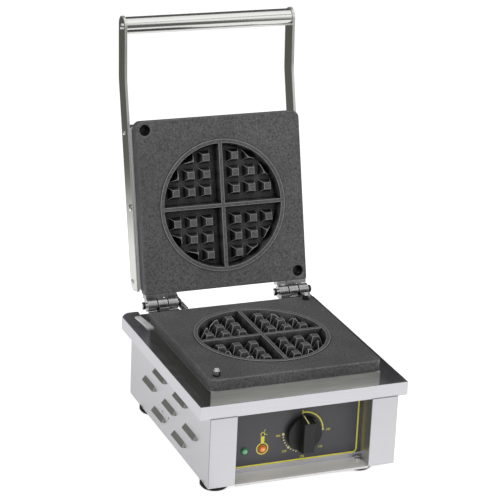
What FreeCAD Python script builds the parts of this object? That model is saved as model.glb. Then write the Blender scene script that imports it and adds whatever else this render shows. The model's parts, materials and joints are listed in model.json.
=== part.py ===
import FreeCAD, Part
import math
import os
import re
import Sketcher

# Round deep-pocket waffle iron: a sheet-steel case with a drip tray, a lower and an upper cast plate,
# and a lid that swings back on two hinges. Millimetres; X right, Y back, Z up; Z = 0 is the worktop.

# Driving sizes
SIZES = [
    ("origin_back", "51.07"),
    ("tray_width", "305"), ("tray_depth", "332"), ("tray_wall", "19.5"), ("tray_rear_wall", "24.5"),
    ("tray_sheet", "1.2"), ("tray_corner", "10"), ("tray_ear", "27"), ("tray_ear_corner", "4"),
    ("tray_window_half", "60"), ("tray_window_depth", "150"),
    ("base_width", "277"), ("base_depth", "328"), ("base_height", "102"), ("case_proud", "1.5"),
    ("case_sheet", "1.2"), ("case_flange", "15"), ("case_bend", "1"), ("pillar_width", "39.5"),
    ("lip_drop", "2.2"),
    ("louvre_length", "50"), ("louvre_rise", "7"), ("louvre_out", "5"), ("louvre_pitch", "84.5"),
    ("louvre_row", "30"), ("louvre_low", "19"), ("louvre_middle", "158.5"), ("side_hole", "1.5"),
    ("foot_radius", "20"), ("foot_height", "8"), ("foot_left", "18"), ("foot_right", "45"),
    ("foot_front", "23.5"), ("foot_span", "253"), ("foot_screw", "3"),
    ("recess_depth", "31.5"), ("panel_thick", "1.5"), ("panel_tuck", "12"),
    ("dial_side", "11.5"), ("dial_up", "50.9"), ("knob_radius", "26"), ("knob_skirt", "6"),
    ("knob_tall", "21"), ("knob_grip", "17"), ("knob_slope", "4"), ("knob_gap", "3"), ("shaft_radius", "3"),
    ("lamp_radius", "5"), ("lamp_side", "24"), ("lamp_pitch", "26.5"), ("lamp_up", "33.5"),
    ("thermostat_wide", "42"), ("thermostat_deep", "34"),
    ("plate_width", "254"), ("plate_depth", "252"), ("plate_thick", "18.5"), ("plate_setback", "33"),
    ("plate_rise", "23"), ("plate_corner", "11"), ("plate_rear_corner", "2.5"), ("plate_edge", "2"),
    ("closing_gap", "0.4"),
    ("ring_radius", "97"), ("ring_width", "5.5"), ("ring_rise", "1.2"),
    ("mould_shift", "4.7"), ("mould_depth", "14"), ("mould_draft", "4.5"), ("divider_top", "5"),
    ("divider_base", "11"),
    ("stud_top", "10"), ("stud_base", "18"), ("stud_first", "22.5"), ("stud_pitch", "24.5"),
    ("stud_below", "1.2"), ("stud_rim", "80.5"),
    ("peg_radius", "5.2"), ("peg_tall", "10"), ("peg_inset", "13.5"), ("peg_hole", "8"),
    ("pan_inset", "1.5"), ("pan_sheet", "1"),
    ("element_ring", "66"), ("element_radius", "3.25"), ("element_gap", "0.1"), ("clamp_radius", "82"),
    ("clamp_thick", "2"), ("clamp_hole", "40"), ("clamp_stud", "3"), ("terminal_drop", "26"),
    ("terminal_sleeve", "0.7"), ("terminal_rise", "12"),
    ("hinge_behind", "15"), ("hinge_above", "3.5"), ("hinge_inner", "79"), ("knuckle_length", "16"),
    ("knuckle_radius", "9"), ("knuckle_gap", "1.8"), ("pin_radius", "4"), ("pin_play", "0.05"),
    ("pin_ring", "5.5"), ("pin_ring_long", "3"), ("leaf_thick", "5.6"), ("open_angle", "104.5"),
    ("arm_width", "29"), ("arm_thick", "3.5"), ("arm_inset", "-1.5"), ("arm_rise", "38.5"),
    ("arm_back", "18.5"), ("arm_straight", "329"), ("arm_corner", "16"), ("arm_bend", "60"),
    ("grip_reach", "404.5"), ("grip_drop", "14.5"), ("grip_radius", "12.5"), ("grip_wall", "1.5"),
    ("cover_front_gap", "6"), ("cover_height", "32.5"), ("cover_sheet", "1"), ("cover_round", "6"),
    ("screw_head", "3.2"), ("screw_dome", "2"), ("bolt_head", "5"), ("screw_shank", "2"),
    ("screw_reach", "6"), ("fit", "0.1"),
    ("bracket_length", "44"), ("bracket_wide", "8.5"), ("bracket_gap", "7"), ("bracket_thick", "3"),
    ("bracket_past", "17"), ("bracket_lean", "5"),
    ("conduit_radius", "5"), ("conduit_bore", "3.6"), ("conduit_pitch", "3"), ("conduit_groove", "0.6"),
    ("conduit_low_x", "-52"), ("conduit_high_x", "-74"), ("conduit_behind_plate", "31"),
    ("conduit_in_base", "26"), ("conduit_leaves", "18"), ("conduit_in_lid", "17"), ("bush_wall", "3"),
    ("bush_tall", "3.5"), ("bush_play", "0.4"),
    ("cord_gland_radius", "9"), ("cord_gland_side", "90"), ("cord_gland_up", "28"),
]

# Places worked out from the driving sizes
PLACES = [
    ("case_bottom", "foot_height"),
    ("case_floor", "case_bottom + case_sheet"),
    ("case_top", "case_bottom + base_height"),
    ("case_half", "base_width / 2"),
    ("tray_half", "tray_width / 2"),
    ("tray_front", "-tray_depth / 2 - origin_back"),
    ("tray_rear", "tray_depth / 2 - origin_back"),
    ("case_front", "tray_front - case_proud"),
    ("case_rear", "case_front + base_depth"),
    ("louvre_y", "case_front + louvre_middle"),
    ("recess_half", "case_half - pillar_width"),
    ("panel_front", "case_front + recess_depth"),
    ("panel_back", "panel_front + panel_thick"),
    ("dial_z", "case_bottom + dial_up"),
    ("lamp_z", "case_bottom + lamp_up"),
    ("green_x", "-recess_half + lamp_side"),
    ("orange_x", "green_x + lamp_pitch"),
    ("tray_floor", "case_top + tray_sheet"),
    ("tray_top", "case_top + tray_wall"),
    ("parting", "tray_top + plate_rise"),
    ("plate_half", "plate_width / 2"),
    ("plate_front", "tray_front + plate_setback"),
    ("plate_rear", "plate_front + plate_depth"),
    ("plate_middle", "plate_front + plate_depth / 2"),
    ("mould_middle", "plate_middle + mould_shift"),
    ("plate_bottom", "parting - plate_thick"),
    ("plate_face", "parting - ring_rise"),
    ("mould_radius", "ring_radius - ring_width"),
    ("lid_parting", "parting + closing_gap"),
    ("lid_face", "lid_parting + ring_rise"),
    ("lid_back", "lid_parting + plate_thick"),
    ("axis_y", "plate_rear + hinge_behind"),
    ("axis_z", "parting + hinge_above"),
    ("leaf_back", "plate_rear + leaf_thick"),
    ("hinge_outer", "hinge_inner + 3 * knuckle_length"),
    ("arm_inner", "plate_half - arm_inset"),
    ("arm_outer", "arm_inner + arm_thick"),
    ("arm_mid", "parting + arm_rise"),
    ("arm_low", "arm_mid - arm_width / 2"),
    ("arm_high", "arm_mid + arm_width / 2"),
    ("arm_end", "axis_y - arm_back"),
    ("grip_y", "axis_y - grip_reach"),
    ("grip_z", "arm_mid - grip_drop"),
    ("bend_y", "axis_y - arm_straight"),
    ("slope_length", "sqrt((bend_y - grip_y)^2 + grip_drop^2)"),
    ("slope_cos", "(bend_y - grip_y) / slope_length"),
    ("slope_sin", "grip_drop / slope_length"),
    ("mitre", "arm_width / 2 * slope_sin / (1 + slope_cos)"),
    ("cover_front", "plate_front + cover_front_gap"),
    ("cover_top", "lid_back + cover_height"),
    ("conduit_y", "plate_rear + conduit_behind_plate"),
    ("conduit_lid_z", "lid_back + cover_height / 2"),
    ("pan_floor", "tray_floor + pan_sheet"),
    ("cord_z", "case_bottom + cord_gland_up"),
    ("element_low", "plate_bottom - element_gap - element_radius"),
    ("element_high", "lid_back + element_gap + element_radius"),
    ("clamp_low", "plate_bottom - 2 * element_gap - 2 * element_radius - clamp_thick"),
    ("clamp_high", "lid_back + 2 * element_gap + 2 * element_radius"),
]

V = FreeCAD.Vector
X_AXIS, Y_AXIS, Z_AXIS = V(1, 0, 0), V(0, 1, 0), V(0, 0, 1)
TURNS = {
    "z": FreeCAD.Rotation(),
    "-z": FreeCAD.Rotation(X_AXIS, 180),
    "x": FreeCAD.Rotation(Y_AXIS, 90),
    "-x": FreeCAD.Rotation(Y_AXIS, -90),
    "y": FreeCAD.Rotation(X_AXIS, -90),
    "-y": FreeCAD.Rotation(X_AXIS, 90),
}

doc = FreeCAD.newDocument("waffle_iron")
dims = doc.addObject("Spreadsheet::Sheet", "dims")
places = doc.addObject("Spreadsheet::Sheet", "places")
SIZE_NAMES = {name for name, text in SIZES}
PLACE_NAMES = {name for name, text in PLACES}


def bound(text, own="places."):
    """Plain size names in an expression, each pointed at the sheet that holds it."""
    def point(match):
        word = match.group(0)
        if word in SIZE_NAMES:
            return "dims." + word
        return own + word if word in PLACE_NAMES else word
    return re.sub(r"[A-Za-z_]\w*", point, text)


def fill(sheet, rows, start):
    for row, (name, text) in enumerate(rows, start=1):
        sheet.set(f"A{row}", name)
        sheet.set(f"B{row}", start + bound(text, own=""))
        sheet.setAlias(f"B{row}", name)


def size(name):
    return float(getattr(dims if name in SIZE_NAMES else places, name))


fill(dims, SIZES, "")
fill(places, PLACES, "=")
doc.recompute()

parts = {}


def part(label, obj):
    """Enter a finished object as a named sub-part."""
    obj.Label = label
    parts[label] = obj
    return obj


def swing(label, obj):
    """Enter a lid piece, modelled closed, at the lid's open angle."""
    centre = V(0, size("axis_y"), size("axis_z"))
    obj.Placement = FreeCAD.Placement(V(), FreeCAD.Rotation(X_AXIS, -size("open_angle")), centre).multiply(
        obj.Placement)
    return part(label, obj)


def place(obj, spot, turn="z"):
    obj.Placement = FreeCAD.Placement(V(), TURNS[turn])
    for axis, text in zip("xyz", spot):
        obj.setExpression("Placement.Base." + axis, bound(text))
    return obj


# Solid primitives and booleans, bound to the sheets
def box(name, x, y, z):
    obj = doc.addObject("Part::Box", name)
    for prop, axis, (low, high) in zip(("Length", "Width", "Height"), "xyz", (x, y, z)):
        obj.setExpression(prop, bound(f"({high}) - ({low})"))
        obj.setExpression("Placement.Base." + axis, bound(low))
    return obj


def across(half):
    return f"-({half})", half


def rod(name, turn, spot, radius, length):
    obj = doc.addObject("Part::Cylinder", name)
    obj.setExpression("Radius", bound(radius))
    obj.setExpression("Height", bound(length))
    return place(obj, spot, turn)


def cone(name, low_radius, high_radius, tall, spot):
    obj = doc.addObject("Part::Cone", name)
    for prop, text in (("Radius1", low_radius), ("Radius2", high_radius), ("Height", tall)):
        obj.setExpression(prop, bound(text))
    return place(obj, spot)


def pyramid(name, base, top, tall, spot):
    """A truncated pyramid that stands on spot; base and top are its X and Y sizes."""
    wedge = doc.addObject("Part::Wedge", name)
    for axis, low, high in (("X", base[0], top[0]), ("Z", base[1], top[1])):
        for sign, end in ((-1, "min"), (1, "max")):
            wedge.setExpression(axis + end, bound(f"{sign} * ({low}) / 2"))
            wedge.setExpression(axis + "2" + end, bound(f"{sign} * ({high}) / 2"))
    wedge.Ymin = 0
    wedge.setExpression("Ymax", bound(tall))
    return place(wedge, spot, "-y")


def cut(name, base, *tools):
    obj = doc.addObject("Part::Cut", name)
    obj.Base = base
    obj.Tool = tools[0] if len(tools) == 1 else fuse(name + "_tools", *tools)
    return obj


def fuse(name, *shapes):
    obj = doc.addObject("Part::MultiFuse", name)
    obj.Shapes = list(shapes)
    obj.Refine = True
    return obj


def common(name, base, tool):
    obj = doc.addObject("Part::Common", name)
    obj.Base = base
    obj.Tool = tool
    return obj


def mirror(name, source, base=V(), normal=X_AXIS):
    obj = doc.addObject("Part::Mirroring", name)
    obj.Source = source
    obj.Base = base
    obj.Normal = normal
    return obj


# Sketched bodies
def outline(body, plane, points, offset="0"):
    """A closed outline whose corners are bound to the sheets."""
    sketch = body.newObject("Sketcher::SketchObject", body.Name + "_outline")
    support = next(item for item in body.Origin.OriginFeatures if item.Role == plane)
    sketch.AttachmentSupport = (support, [""])
    sketch.MapMode = "FlatFace"
    sketch.setExpression("AttachmentOffset.Base.z", bound(offset))
    count = len(points)
    start = [V(math.cos(2 * math.pi * i / count), math.sin(2 * math.pi * i / count), 0) * 10
             for i in range(count)]
    sketch.addGeometry([Part.LineSegment(start[i], start[(i + 1) % count]) for i in range(count)], False)
    for i in range(count):
        sketch.addConstraint(Sketcher.Constraint("Coincident", i, 2, (i + 1) % count, 1))
    for i, corner in enumerate(points):
        for kind, text, value in zip(("DistanceX", "DistanceY"), corner, start[i]):
            index = sketch.addConstraint(Sketcher.Constraint(kind, -1, 1, i, 1, value))
            sketch.setExpression(f"Constraints[{index}]", bound(text))
    return sketch


def padded(name, plane, points, length, offset="0"):
    """A pad: along +Z from XY_Plane, +X from YZ_Plane, -Y from XZ_Plane."""
    body = doc.addObject("PartDesign::Body", name)
    pad = body.newObject("PartDesign::Pad", name + "_pad")
    pad.Profile = outline(body, plane, points, offset)
    pad.setExpression("Length", bound(length))
    return body


def turned(name, points, spot, turn="z"):
    """A revolved body: points are radius and height, turned about the body's own Z axis."""
    body = doc.addObject("PartDesign::Body", name)
    spin = body.newObject("PartDesign::Revolution", name + "_turn")
    sketch = outline(body, "XZ_Plane", points)
    spin.Profile = sketch
    spin.ReferenceAxis = (sketch, ["V_Axis"])
    spin.Angle = 360
    return place(body, spot, turn)


def rounded(body, radius, wanted):
    """Fillet the edges for which wanted(middle point, direction) holds."""
    doc.recompute()
    tip = body.Tip
    names = []
    for index, edge in enumerate(tip.Shape.Edges, start=1):
        middle = edge.valueAt((edge.FirstParameter + edge.LastParameter) / 2)
        along = edge.tangentAt(edge.FirstParameter)
        if wanted(middle, along):
            names.append(f"Edge{index}")
    fillet = body.newObject("PartDesign::Fillet", body.Name + "_fillet")
    fillet.Base = (tip, names)
    fillet.setExpression("Radius", bound(radius))
    return body


def copies(name, pattern, spots, turn="z"):
    """Separate copies of one body, as a group."""
    links = []
    for number, spot in enumerate(spots):
        link = doc.addObject("App::Link", f"{name}_{number}")
        link.LinkedObject = pattern
        links.append(place(link, spot, turn))
    return group(name, *links)


def group(name, *items):
    obj = doc.addObject("Part::Compound", name)
    obj.Links = list(items)
    return obj


def rectangle(x, y):
    return [(x[0], y[0]), (x[1], y[0]), (x[1], y[1]), (x[0], y[1])]


def upright(middle, along):
    return abs(along.z) > 0.99


# Case: folded side panels with stamped louvres
def louvre_spots():
    """Middle of each louvre along the side, and height of its lip: two, three and two in a row."""
    for row, shifts in enumerate(((-0.5, 0.5), (-1, 0, 1), (-0.5, 0.5))):
        for shift in shifts:
            yield (f"louvre_y + {shift} * louvre_pitch",
                   f"case_bottom + louvre_low + {row} * louvre_row")


def louvre_hoods(name, inset):
    """Sloping hoods with rounded ends on the left side, each moved into the case by inset."""
    straight = "(louvre_length - 2 * louvre_out)"
    tip = "louvre_out / 40"
    wall = f"-case_half + {inset}"
    pieces = []
    for number, (middle, lip) in enumerate(louvre_spots()):
        pieces.append(pyramid(f"{name}_slope_{number}", ("2 * louvre_out", straight),
                              (f"2 * {tip}", straight),
                              "louvre_rise", (wall, middle, lip)))
        for end, sign in enumerate((-1, 1)):
            spot = (wall, f"{middle} + {sign} * {straight} / 2", lip)
            pieces.append(cone(f"{name}_end_{number}_{end}", "louvre_out", tip, "louvre_rise", spot))
    return fuse(name, *pieces)


def side_panel():
    sheet, rear = "case_sheet", "case_rear"
    fold = [
        ("-case_half", rear), ("-case_half", "case_front"), ("-recess_half", "case_front"),
        ("-recess_half", "panel_front"), (f"-recess_half - {sheet}", "panel_front"),
        (f"-recess_half - {sheet}", f"case_front + {sheet}"),
        (f"-case_half + {sheet}", f"case_front + {sheet}"),
        (f"-case_half + {sheet}", f"{rear} - 2 * {sheet}"),
        ("-case_half + case_flange", f"{rear} - 2 * {sheet}"),
        ("-case_half + case_flange", f"{rear} - {sheet}"), (f"-case_half + {sheet}", f"{rear} - {sheet}"),
        (f"-case_half + {sheet}", rear),
    ]
    wall = padded("side_fold", "XY_Plane", fold, "case_top - case_floor", "case_floor")
    front = size("case_front")
    rounded(wall, "case_bend", lambda middle, along: upright(middle, along) and abs(middle.y - front) < 1e-6)
    skin = box("louvre_skin", ("-case_half - 2 * louvre_out", f"-case_half + {sheet}"),
               ("case_front", rear), ("case_floor", "case_top"))
    hoods = common("louvre_outside", louvre_hoods("hood", "0"), skin)
    holes = [rod(f"side_hole_{n}", "x", ("-case_half - case_sheet", f"louvre_y + {shift}",
                                         "case_bottom + 33"),
                 "side_hole", "4 * case_sheet") for n, shift in enumerate(("3", "27"))]
    shell = fuse("side_shell", wall, hoods)
    inset = f"{sheet} * sqrt(1 + (louvre_out / louvre_rise)^2)"
    return cut("side_panel", shell, common("louvre_inside", louvre_hoods("hollow", inset), skin), *holes)


def foot_spots(height):
    for x in ("-case_half + foot_left", "case_half - foot_right"):
        for y in ("case_front + foot_front", "case_front + foot_front + foot_span"):
            yield x, y, height


def case_parts():
    left = part("left_side_panel", side_panel())
    part("right_side_panel", mirror("right_side", left))
    whole = box("bottom_sheet", across("case_half"), ("case_front", "case_rear"),
                ("case_bottom", "case_floor"))
    lip = box("bottom_lip", across("recess_half"), ("case_front", "case_front + case_sheet"),
              ("case_bottom - lip_drop", "case_bottom"))
    drills = [rod(f"foot_drill_{n}", "z", spot, "foot_screw + fit", "2 * case_sheet")
              for n, spot in enumerate(foot_spots("case_bottom - case_sheet / 2"))]
    slots = [box(f"bottom_slot_{n}", across("30"), (f"plate_middle + {20 * n - 43}",
                                                    f"plate_middle + {20 * n - 37}"),
                 ("case_bottom - case_sheet", "case_floor + case_sheet")) for n in range(5)]
    part("bottom_panel", cut("bottom", fuse("bottom_folded", whole, lip), *drills, *slots))
    back = box("rear_sheet", across("case_half - case_sheet"), ("case_rear - case_sheet", "case_rear"),
               ("case_floor", "case_top"))
    outlet = rod("cord_drill", "y", ("cord_gland_side", "case_rear - 2 * case_sheet", "cord_z"),
                 "cord_gland_radius - 2 + fit", "4 * case_sheet")
    drills = [rod(f"rear_drill_{n}", "y", (x, "case_rear - 2 * case_sheet", z), "screw_shank + fit",
                  "4 * case_sheet")
              for n, (x, y, z) in enumerate(rear_screw_spots())]
    part("rear_panel", cut("rear", back, outlet, *drills))
    gland = [("0", "-6"), ("cord_gland_radius - 2", "-6"), ("cord_gland_radius - 2", "0"),
             ("cord_gland_radius", "0"), ("cord_gland_radius", "4"), ("cord_gland_radius - 2", "12"),
             ("4", "12"), ("4", "2"), ("0", "2")]
    part("cord_gland", turned("cord_gland_turn", gland, ("cord_gland_side", "case_rear", "cord_z"), "y"))


def rear_screw_spots():
    for side in ("-", ""):
        for z in ("case_floor + 80", "case_floor + 12"):
            yield f"{side}(case_half - case_flange - 12)", "case_rear", z


def screw(name, head, dome="screw_dome", reach="screw_reach"):
    """A domed screw: its head stands on Z = 0 and its shank goes down."""
    points = [("0", f"-({reach})"), ("screw_shank", f"-({reach})"), ("screw_shank", "0"), (head, "0"),
              (head, f"{dome} / 2"), (f"{head} * 0.6", dome), ("0", dome)]
    return turned(name, points, ("0", "0", "0"))


def foot_parts():
    rim = "foot_radius"
    points = [("foot_screw + fit", "2"), ("foot_screw + fit", "foot_height"), (rim, "foot_height"),
              (rim, "3"),
              (f"{rim} - 2.5", "0"), ("8", "0"), ("8", "2")]
    foot = turned("foot_turn", points, ("0", "0", "0"))
    part("rubber_feet", copies("feet", foot, foot_spots("0")))
    bolt = [("0", "2"), ("foot_screw", "2"), ("foot_screw", "foot_height + case_sheet"),
            ("foot_screw * 1.6", "foot_height + case_sheet"),
            ("foot_screw * 1.6", "foot_height + case_sheet + 3"),
            ("0", "foot_height + case_sheet + 3")]
    part("foot_screws", copies("foot_bolts", turned("foot_bolt", bolt, ("0", "0", "0")), foot_spots("0")))
    rivet = screw("rear_screw_turn", "screw_head")
    part("rear_panel_screws", copies("rear_screws", rivet, rear_screw_spots(), "y"))


# Control panel with its thermostat, dial and lamps
def lamp(name, side):
    r = "lamp_radius"
    points = [("0", "-18"), (f"{r} - 1", "-18"), (f"{r} - 1", "-panel_thick - fit"),
              (f"{r} - 0.2", "-panel_thick - fit"),
              (f"{r} - 0.2", "0"), (f"{r} + 0.8", "0"), (f"{r} + 0.8", "1"), (r, "1.4"),
              (f"{r} * 0.8", "3.4"),
              ("0", "4.4")]
    return turned(name, points, (side, "panel_front", "lamp_z"), "-y")


def control_parts():
    sheet = box("panel_sheet", across("recess_half + panel_tuck"), ("panel_front", "panel_back"),
                ("case_floor", "case_top"))
    holes = [rod(name, "y", (side, "panel_front - panel_thick", z), radius, "3 * panel_thick")
             for name, side, z, radius in (("green_hole", "green_x", "lamp_z", "lamp_radius"),
                                           ("orange_hole", "orange_x", "lamp_z", "lamp_radius"),
                                           ("dial_hole", "dial_side", "dial_z", "shaft_radius + 2 + fit"))]
    part("control_panel", cut("panel", sheet, *holes))
    part("green_pilot_lamp", lamp("green_lamp", "green_x"))
    part("orange_pilot_lamp", lamp("orange_lamp", "orange_x"))
    block = box("thermostat_box", ("dial_side - thermostat_wide / 2", "dial_side + thermostat_wide / 2"),
                ("panel_back", "panel_back + thermostat_deep"),
                ("dial_z - thermostat_wide / 2", "dial_z + thermostat_wide / 2"))
    neck = rod("thermostat_neck", "-y", ("dial_side", "panel_back + fit", "dial_z"), "shaft_radius + 2",
               "panel_thick + fit")
    bore = rod("thermostat_bore", "-y", ("dial_side", "panel_back + 14", "dial_z"),
               "shaft_radius + pin_play", "panel_thick + 20")
    part("thermostat_body", cut("thermostat", fuse("thermostat_case", block, neck), bore))
    part("thermostat_shaft", rod("shaft", "-y", ("dial_side", "panel_back + 13.5", "dial_z"), "shaft_radius",
                                 "panel_thick + 25.5"))
    knob_parts()


def knob_parts():
    face = "panel_front - knob_gap"
    skirt = [("0", "0"), ("knob_radius", "0"), ("knob_radius", "2"), ("knob_radius - 1.2", "knob_skirt"),
             ("0", "knob_skirt")]
    disc = turned("knob_skirt_turn", skirt, ("dial_side", face, "dial_z"), "-y")
    bar = [("-knob_radius + 0.5", "knob_skirt - 1"), ("knob_radius - 0.5", "knob_skirt - 1"),
           ("knob_radius - knob_slope", "knob_tall"), ("-knob_radius + knob_slope", "knob_tall")]
    grip = padded("knob_bar", "XZ_Plane", bar, "knob_grip", "-knob_grip / 2")
    rounded(grip, "1.5", lambda middle, along: middle.z > size("knob_tall") - 1)
    grip.Placement = FreeCAD.Placement(V(), TURNS["-y"].multiply(FreeCAD.Rotation(Z_AXIS, 90)))
    for axis, text in zip("xyz", ("dial_side", face, "dial_z")):
        grip.setExpression("Placement.Base." + axis, bound(text))
    bore = rod("knob_bore", "-y", ("dial_side", "panel_front", "dial_z"), "shaft_radius", "13.5")
    part("control_knob", cut("knob", fuse("knob_solid", disc, grip), bore))


# Drip tray and the heater pan that carries the lower plate
def tray_parts():
    outer = box("tray_outer", across("tray_half"), ("tray_front", "tray_rear - tray_sheet"),
                ("case_top", "tray_top"))
    inner = box("tray_inner", across("tray_half - tray_sheet"), ("tray_front + tray_sheet", "tray_rear"),
                ("tray_floor", "tray_top + 1"))
    window = box("tray_window", across("tray_window_half"), ("plate_middle - tray_window_depth / 2",
                 "plate_middle + tray_window_depth / 2"), ("case_top - 1", "tray_floor + 1"))
    hole = rod("tray_conduit_hole", "z", ("conduit_low_x", "conduit_y", "case_top - 1"),
               "conduit_radius + bush_wall / 2 + fit", "tray_sheet + 2")
    ear, low, high = "tray_half - tray_ear", "tray_top", "case_top + tray_rear_wall"
    back = padded("tray_back", "XZ_Plane",
                  [("-tray_half", "case_top"), ("tray_half", "case_top"), ("tray_half", high), (ear, high),
                   (ear, low),
                   (f"-({ear})", low), (f"-({ear})", high), ("-tray_half", high)], "tray_sheet", "-tray_rear")
    top = size("case_top") + size("tray_rear_wall")
    edge = size("tray_half")
    for radius, outside in (("tray_corner", True), ("tray_ear_corner", False)):
        rounded(back, radius, lambda middle, along: abs(along.y) > 0.99 and abs(middle.z - top) < 1e-6
                and (abs(middle.x) > edge - 1) == outside)
    part("drip_tray", cut("tray", fuse("tray_folded", cut("tray_pan", outer, inner), back), window, hole))
    shell = box("pan_outer", across("plate_half - pan_inset"),
                ("plate_front + pan_inset", "plate_rear - pan_inset"),
                ("tray_floor", "plate_bottom"))
    hollow = box("pan_inner", across("plate_half - pan_inset - pan_sheet"),
                 ("plate_front + pan_inset + pan_sheet", "plate_rear - pan_inset - pan_sheet"),
                 ("pan_floor", "plate_bottom + 1"))
    window = box("pan_window", across("tray_window_half"), ("plate_middle - tray_window_depth / 2",
                 "plate_middle + tray_window_depth / 2"), ("tray_floor - 1", "pan_floor + 1"))
    part("lower_heater_pan", cut("pan", shell, hollow, window))
    bush = [("conduit_radius + bush_play", "-tray_sheet - 2"),
            ("conduit_radius + bush_wall / 2", "-tray_sheet - 2"),
            ("conduit_radius + bush_wall / 2", "0"), ("conduit_radius + bush_wall", "0"),
            ("conduit_radius + bush_wall", "bush_tall - 1"), ("conduit_radius + bush_wall - 1", "bush_tall"),
            ("conduit_radius + bush_play", "bush_tall")]
    part("conduit_bush", turned("tray_bush", bush, ("conduit_low_x", "conduit_y", "tray_floor")))


# Cast plates
def stud_spots():
    """Middles of the pyramids, as multiples of the grid, without the outermost corner."""
    for across_side in (-1, 1):
        for along_side in (-1, 1):
            for i in range(3):
                for j in range(3):
                    if i + j < 4:
                        yield across_side, i, along_side, j


def mould_tool():
    """The batter space: a drafted round pocket less its pyramids and the two dividers."""
    centre = ("0", "mould_middle", "parting - mould_depth")
    pocket = cone("mould_pocket", "mould_radius - mould_draft", "mould_radius", "mould_depth", centre)
    pyramids = []
    for number, (sx, i, sy, j) in enumerate(stud_spots()):
        spot = (f"{sx} * (stud_first + {i} * stud_pitch)",
                f"mould_middle + {sy} * (stud_first + {j} * stud_pitch)", "parting - mould_depth")
        pyramids.append(pyramid(f"stud_{number}", ("stud_base", "stud_base"), ("stud_top", "stud_top"),
                                "mould_depth - stud_below", spot))
    rim = cone("stud_rim_cone", "mould_radius - mould_draft", "stud_rim", "mould_depth", centre)
    studs = common("studs", fuse("pyramids", *pyramids), rim)
    long = "2 * mould_radius"
    ridge_x = pyramid("divider_across", (long, "divider_base"), (long, "divider_top"), "mould_depth", centre)
    ridge_y = pyramid("divider_along", ("divider_base", long), ("divider_top", long), "mould_depth", centre)
    return cut("mould", pocket, studs, ridge_x, ridge_y)


def hinge_drills(name, z):
    return [rod(f"{name}_{n}", "y", (x, "plate_rear - 9", z), "screw_shank + fit", "12")
            for n, (x, y) in enumerate(hinge_screw_sides(name))]


def hinge_screw_sides(name):
    """X of the two screws of each leaf, clear of its knuckles."""
    near, far = "hinge_inner + knuckle_length / 2", "hinge_outer - knuckle_length / 2"
    middle_near, middle_far = "hinge_inner + 1.3 * knuckle_length", "hinge_inner + 1.7 * knuckle_length"
    single, double = (near, far), (middle_near, middle_far)
    left, right = (single, double) if "lower" in name else (double, single)
    return [(f"-({x})", "leaf_back") for x in left] + [(x, "leaf_back") for x in right]


def plate_parts():
    slab = padded("plate_slab", "XY_Plane", rectangle(across("plate_half"), ("plate_front", "plate_rear")),
                  "plate_face - plate_bottom", "plate_bottom")
    front = size("plate_front")
    rounded(slab, "plate_corner", lambda middle, along: upright(middle, along) and middle.y < front + 1)
    rear = size("plate_rear")
    rounded(slab, "plate_rear_corner", lambda middle, along: upright(middle, along) and middle.y > rear - 1)
    face = size("plate_face")
    rounded(slab, "plate_edge", lambda middle, along: abs(middle.z - face) < 1e-6)
    ring = rod("plate_ring", "z", ("0", "mould_middle", "plate_bottom + 1"), "ring_radius", "plate_thick - 1")
    blank = cut("plate_blank", fuse("plate_body", slab, ring), mould_tool())
    pegs = list(peg_spots())
    sockets = [rod(f"peg_socket_{n}", "z", (x, y, "plate_face - peg_tall"), "peg_radius - 1", "peg_tall + 1")
               for n, (x, y) in enumerate(pegs)]
    part("lower_plate", cut("lower_casting", blank, *sockets, *hinge_drills("lower_drill", "axis_z - 14")))
    middle = (size("parting") + size("lid_parting")) / 2
    upper = mirror("upper_blank", blank, V(0, 0, middle), Z_AXIS)
    lugs = [box(f"arm_lug_{side}", (low, high), ("plate_middle - 10", "plate_middle + 10"),
                ("lid_back - 2", "arm_low + 11"))
            for side, low, high in (("left", "-arm_inner + cover_sheet + fit", "-arm_inner + 16"),
                                    ("right", "arm_inner - 16", "arm_inner - cover_sheet - fit"))]
    holes = [rod(f"peg_hole_{n}", "z", (x, y, "lid_parting - 1"), "peg_hole", "peg_tall + 5")
             for n, (x, y) in enumerate(pegs)]
    mouths = [cone(f"peg_mouth_{n}", "peg_hole + 2.5", "peg_hole", "2.5", (x, y, "lid_face - 1"))
              for n, (x, y) in enumerate(pegs)]
    bolts = [rod(f"lug_drill_{n}", "x", (x, "plate_middle", "arm_low + 6"), "screw_shank + 1 + fit", "20")
             for n, x in enumerate(("-arm_inner", "arm_inner - 20"))]
    casting = fuse("upper_body", upper, *lugs)
    swing("upper_plate", cut("upper_casting", casting, *holes, *mouths, *bolts,
                             *hinge_drills("upper_drill", "axis_z + 10")))
    peg = [("0", "-peg_tall + 1"), ("peg_radius - 1", "-peg_tall + 1"), ("peg_radius - 1", "0"),
           ("peg_radius", "0"),
           ("peg_radius", "peg_tall - 2"), ("peg_radius - 2", "peg_tall"), ("0", "peg_tall")]
    spots = [(x, y, "plate_face") for x, y in pegs]
    part("locating_pegs", copies("pegs", turned("peg", peg, ("0", "0", "0")), spots))


def peg_spots():
    """Front left and rear right corners."""
    yield "-plate_half + peg_inset", "plate_front + peg_inset"
    yield "plate_half - peg_inset", "plate_rear - peg_inset"


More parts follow.
